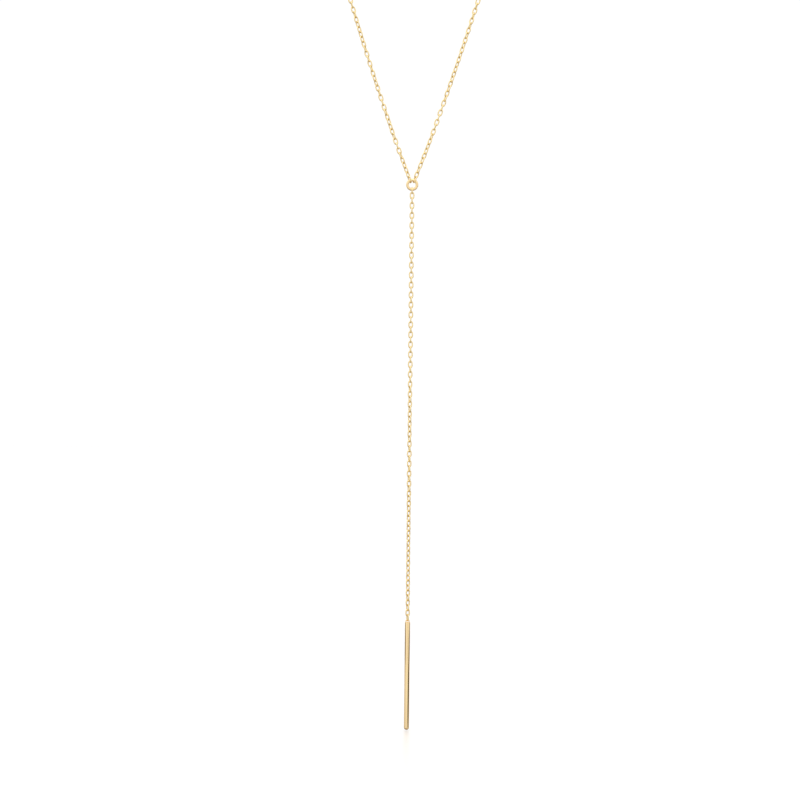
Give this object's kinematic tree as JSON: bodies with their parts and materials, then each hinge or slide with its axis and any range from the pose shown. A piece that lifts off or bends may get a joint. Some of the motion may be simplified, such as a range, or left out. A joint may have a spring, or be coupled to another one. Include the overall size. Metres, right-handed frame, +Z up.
{
  "type": "y necklace",
  "caption": "Fine cable-chain Y necklace: a neck loop meets at a small closed ring, from which a long drop chain carries a slim round bar.",
  "frame": {"origin": "at the nape, in the middle of the clasp's ring, where the necklace is held", "axes": "+Z up, -Y towards the front where the drop hangs, +X to the viewer's right as seen from the front"},
  "size_m": [0.0944, 0.0962, 0.2953],
  "materials": {
    "gold_chain": "bright drawn wire, pale yellow gold",
    "gold_polished": "polished pale yellow gold"
  },
  "bodies": {
    "necklace": {"neck_chain_left": "gold_chain", "neck_chain_right": "gold_chain", "junction_ring": "gold_polished", "drop_chain": "gold_chain", "clasp": "gold_polished", "clasp_end_ring": "gold_polished"},
    "bar": {"bar_pendant": "gold_polished"}
  },
  "joints": [
    {"name": "bar_swing", "type": "hinge", "parent": "necklace", "child": "bar", "pos_m": [0, -0.094, -0.26745], "axis": [0, 1, 0], "range_deg": [-75, 75]}
  ]
}
